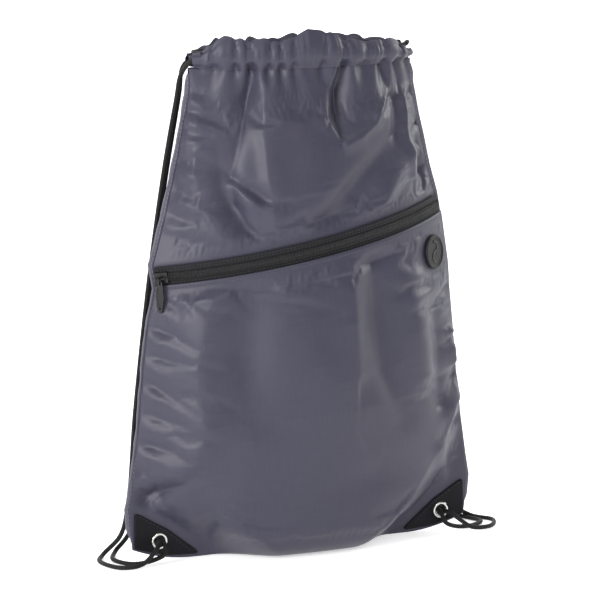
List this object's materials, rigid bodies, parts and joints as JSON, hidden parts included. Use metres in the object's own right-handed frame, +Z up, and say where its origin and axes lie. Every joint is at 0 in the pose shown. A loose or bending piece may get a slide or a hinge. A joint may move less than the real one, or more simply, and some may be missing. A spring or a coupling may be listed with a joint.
{
  "type": "drawstring backpack",
  "caption": "Stuffed cloth drawstring backpack with a gathered hem, cord straps through corner eyelets, a slanting zip pocket and a rubber earphone port.",
  "frame": {"origin": "middle of the flat foot that the bag stands on", "axes": "+Z up, front with the zip faces -Y, +X to the right seen from the front"},
  "size_m": [0.3515, 0.1139, 0.412],
  "materials": {
    "grey_cloth": "plain-weave coated polyester, soft sheen",
    "pocket_cloth": "plain-weave coated polyester, soft sheen",
    "hem_cloth": "plain-weave coated polyester, soft sheen",
    "seam_cloth": "folded and stitched cloth edge",
    "patch": "smooth imitation leather",
    "eyelet_metal": "bright nickel plating",
    "zip_tape": "woven tape",
    "zip_coil": "nylon coil",
    "black_enamel": "gloss black enamel",
    "port_rubber": "moulded rubber",
    "cord": "braided polyester"
  },
  "bodies": {
    "root": {"front_panel": "grey_cloth", "back_panel": "grey_cloth", "bottom_fold": "grey_cloth", "pocket_panel": "pocket_cloth", "front_hem": "hem_cloth", "back_hem": "hem_cloth", "side_seam_left": "seam_cloth", "side_seam_right": "seam_cloth", "corner_patch_front_left": "patch", "corner_patch_front_right": "patch", "corner_patch_back_left": "patch", "corner_patch_back_right": "patch", "eyelet_left": "eyelet_metal", "eyelet_right": "eyelet_metal", "eyelet_washer_left": "eyelet_metal", "eyelet_washer_right": "eyelet_metal", "zip_tape_upper": "zip_tape", "zip_tape_lower": "zip_tape", "zip_coil_upper": "zip_coil", "zip_coil_lower": "zip_coil", "earphone_port_face": "port_rubber", "earphone_port_backing": "port_rubber", "left_cord_run": "cord", "right_cord_run": "cord", "left_cord_outer": "cord", "left_cord_inner": "cord", "right_cord_outer": "cord", "right_cord_inner": "cord", "left_knot": "cord", "right_knot": "cord"},
    "slider": {"slider_body": "black_enamel", "slider_bridge": "black_enamel"},
    "link": {"pull_link": "black_enamel"},
    "tab": {"pull_tab": "black_enamel"}
  },
  "joints": [
    {"name": "zip_slide", "type": "hinge", "parent": "root", "child": "slider", "pos_m": [-0.003, 0.13698, 0.25047], "axis": [-0.1736, 0, 0.9848], "range_deg": [0, 70]},
    {"name": "pull_lift", "type": "hinge", "parent": "slider", "child": "link", "pos_m": [-0.12694, -0.01194, 0.22862], "axis": [-0.7522, 0.6455, -0.1326], "range_deg": [0, 160]},
    {"name": "pull_swivel", "type": "hinge", "parent": "link", "child": "tab", "pos_m": [-0.12658, -0.01225, 0.22505], "axis": [-0.6511, -0.759, -0.001], "range_deg": [-75, 75]}
  ]
}
